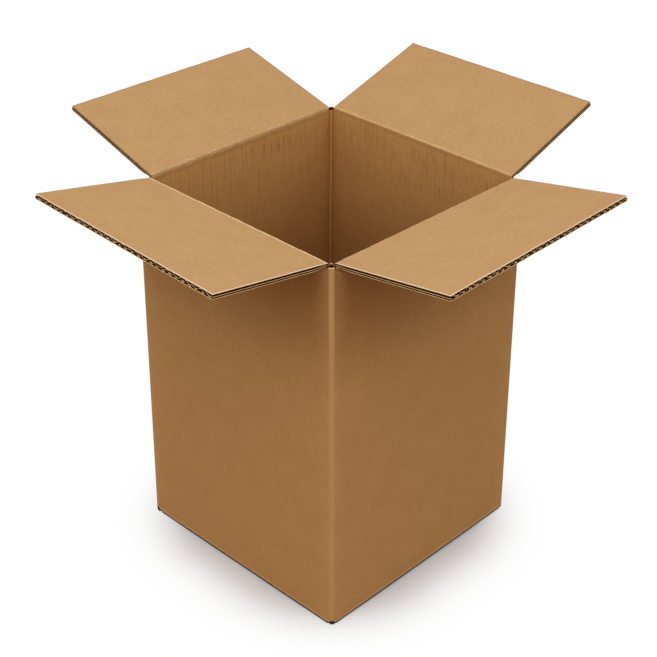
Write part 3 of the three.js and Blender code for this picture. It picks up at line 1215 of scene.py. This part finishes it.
@dataclass
class Studio:
    """The camera, the lamp, the white surroundings and the floor."""

    focal_px: float = 1422.0
    yaw: float = 45.028
    pitch: float = 31.187
    roll: float = 0.079
    distance: float = 1933.3
    target: tuple[float, float, float] = (-4.81, 0.0, 305.09)
    sensor: float = 36.0
    lamp_place: tuple[float, float, float] = (0.55, -0.75, 2.4)
    lamp_aim: tuple[float, float, float] = (0.0, 0.0, 0.3)
    lamp_size: float = 2.1
    lamp_power: float = 23.4
    sky: float = 0.6
    floor_size: float = 9.0
    floor_level: float = -0.0002
    floor_shown: float = 0.72
    floor_glow: float = 0.1
    floor_bounce: float = 0.26
    shadow_margin: float = 0.006
    shadow_reach: float = 0.054
    shadow_round: float = 0.13

    def camera(self) -> None:
        """Puts the camera at the photograph's viewing angle."""
        data = bpy.data.cameras.new("studio_camera")
        data.sensor_width = self.sensor
        data.lens = self.focal_px / IMAGE_SIZE * self.sensor
        data.clip_end = 50
        made = add_object("studio_camera", data)
        turn = (Matrix.Rotation(math.radians(self.yaw), 4, "Z")
                @ Matrix.Rotation(math.radians(90 - self.pitch), 4, "X")
                @ Matrix.Rotation(math.radians(self.roll), 4, "Z"))
        place = Vector(self.target) * MM + turn.col[2].xyz * self.distance * MM
        made.matrix_world = Matrix.Translation(place) @ turn
        bpy.context.scene.camera = made

    def lamp(self) -> None:
        """Hangs one square soft lamp that looks at the box."""
        data = bpy.data.lights.new("overhead_lamp", "AREA")
        data.shape = "SQUARE"
        data.size = self.lamp_size
        data.energy = self.lamp_power
        made = add_object("overhead_lamp", data)
        made.location = self.lamp_place
        aim = Vector(self.lamp_aim) - Vector(self.lamp_place)
        made.rotation_euler = aim.to_track_quat("-Z", "Y").to_euler()

    def surroundings(self) -> None:
        """Makes the world: plain light, and white where the camera or a reflection sees it."""
        world = bpy.data.worlds.new("studio_world")
        world.use_nodes = True
        bpy.context.scene.world = world
        world.node_tree.nodes.clear()
        g = Graph(world.node_tree)
        path = g.node("ShaderNodeLightPath").outputs
        shown = g.math("MAXIMUM", path["Is Camera Ray"], path["Is Glossy Ray"])
        shown = g.math("MAXIMUM", shown, path["Is Transmission Ray"])
        plain, white = (g.node("ShaderNodeBackground") for _ in range(2))
        for part, strength in ((plain, self.sky), (white, 1.0)):
            part.inputs["Strength"].default_value = strength
            part.inputs["Color"].default_value = (1.0, 1.0, 1.0, 1.0)
        out = g.node("ShaderNodeOutputWorld")
        g.put(out.inputs["Surface"], g.blend(shown, plain, white).outputs[0])

    def floor(self) -> None:
        """Lays a pale floor that shows white and keeps the box's soft shadow."""
        mesh = bpy.data.meshes.new("studio_floor")
        size, low = self.floor_size, self.floor_level
        mesh.from_pydata([(-size, -size, low), (size, -size, low), (size, size, low),
                          (-size, size, low)], [], [(0, 1, 2, 3)])
        made = add_object("studio_floor", mesh)
        material = bpy.data.materials.new("studio_paper")
        material.use_nodes = True
        material.node_tree.nodes.clear()
        g = Graph(material.node_tree)
        path = g.node("ShaderNodeLightPath").outputs
        shown = g.math("MAXIMUM", path["Is Camera Ray"], path["Is Glossy Ray"])
        seen, bounce = (g.node("ShaderNodeBsdfDiffuse") for _ in range(2))
        for part, level in ((seen, self.floor_shown), (bounce, self.floor_bounce)):
            part.inputs["Color"].default_value = (level, level, level, 1.0)
        glow, white = (g.node("ShaderNodeEmission") for _ in range(2))
        glow.inputs["Strength"].default_value = self.floor_glow
        total = g.node("ShaderNodeAddShader", {0: seen.outputs[0], 1: glow.outputs[0]})
        fade = g.blend(self.distance_fade(g), total, white)
        out = g.node("ShaderNodeOutputMaterial")
        g.put(out.inputs["Surface"], g.blend(shown, bounce, fade).outputs[0])
        mesh.materials.append(material)

    def distance_fade(self, g: Graph) -> Socket:
        """How white the floor shows: 0 at the foot of the box, and 1 a hand's width away.

        Args:
            g: the floor material's graph.

        Returns:
            The share of white.
        """
        core = HALF_WIDTH * MM + self.shadow_margin - self.shadow_round
        spots = g.split(g.node("ShaderNodeTexCoord").outputs["Object"])
        past = [g.math("MAXIMUM", g.math("SUBTRACT", g.math("ABSOLUTE", spot), core), 0.0)
                for spot in spots]
        squares = [g.times(part, part) for part in past]
        away = g.math("SUBTRACT", g.math("SQRT", g.math("ADD", *squares)), self.shadow_round)
        part = g.math("DIVIDE", g.math("MAXIMUM", away, 0.0), self.shadow_reach)
        return g.math("SUBTRACT", 1.0, g.math("EXPONENT", g.times(part, part, -1.0)))

    def build(self) -> None:
        """Sets the whole studio up."""
        bpy.context.scene.view_settings.view_transform = "Standard"
        self.camera()
        self.surroundings()
        self.lamp()
        self.floor()


def papers(effects: Effects) -> Papers:
    """Makes the materials of every piece.

    Args:
        effects: the shared node groups.

    Returns:
        The materials, in the order of Finish.
    """
    pale_grain_and_highlight = srgb(246, 208, 156)
    # speck also darkens the far free edges as painted shade.
    speck = srgb(96, 58, 24)
    # Outside: painted shade near the top of the walls, under the flaps.
    outside = KraftPaper("kraft_outside", srgb(206, 148, 84), srgb(217, 160, 95), pale_grain_and_highlight, speck,
                         painted_top_shading=(0.61, 0.47, 0.29, 1.0), painted_deep_shading=(1.01, 0.97, 0.98, 1.0),
                         painted_shading_reach=0.2, strip=srgb(242, 186, 124), foot=0.65,
                         pitch=BOARD.small_pitch, wave=0.02, ridge=0.3, edge_line_and_highlight=0.8,
                         corner=0.3, bump=0.06)
    # Inside: painted light near the top of the walls and painted shade deep down.
    inside = KraftPaper("kraft_inside", srgb(189, 145, 96), srgb(202, 159, 110), pale_grain_and_highlight, speck,
                        painted_top_shading=(1.15, 1.05, 0.79, 1.0), painted_deep_shading=(0.75, 0.62, 0.39, 1.0),
                        painted_shading_reach=0.26, streak=0.9, wave=0.05, ridge=0.95, edge_line_and_highlight=0.85,
                        bump=0.12, specular=0.12)
    # Cut edges: pale, partly the cut paper's own colour and partly painted highlight.
    edge = KraftPaper("kraft_cut_edge", srgb(244, 186, 120), srgb(255, 220, 166), pale_grain_and_highlight,
                      srgb(170, 116, 66), bump=0.05, specular=0.05)
    # Fluting: near black, partly the paper's darker brown and mostly painted shade of the flute
    # cavities.
    flute = KraftPaper("fluting_paper_and_painted_shade", srgb(58, 24, 5), srgb(78, 36, 10), pale_grain_and_highlight, srgb(30, 11, 2),
                       bump=0.1, specular=0.0)
    # Frayed ends: dark base as painted shade of the open flutes, with pale tufts of frayed paper.
    fray = KraftPaper("frayed_cut_edge_and_painted_shade", srgb(66, 34, 12), srgb(104, 60, 26), pale_grain_and_highlight,
                      srgb(40, 18, 6), pitch=11.0, frayed=1.0, strip=srgb(255, 214, 156),
                      bump=0.05, specular=0.0)
    return [paper.make(effects) for paper in (outside, inside, edge, flute, fray)]


def main() -> None:
    """Builds the studio, the papers, the shell and the four flaps."""
    logging.basicConfig(level=logging.INFO, format="%(message)s")
    Studio().build()
    LOG.info("studio: camera, lamp, surroundings and floor")
    materials = papers(Effects())
    LOG.info("papers: %d", len(materials))
    flaps = [Flap(Side.FRONT, 10.5, True, twist=-3.5),
             Flap(Side.RIGHT, 10.0, False, twist=3.5),
             Flap(Side.BACK, 18.5, True, trim=3.0, taper=0.013),
             Flap(Side.LEFT, 15.8, False, trim=3.0, taper=0.013)]
    shell = Shell().build(flaps, materials)
    LOG.info("%s: %d faces", shell.name, len(shell.data.polygons))
    for flap in flaps:
        made = flap.build(materials)
        LOG.info("%s: %d faces", made.name, len(made.data.polygons))


if __name__ == "__main__":
    main()
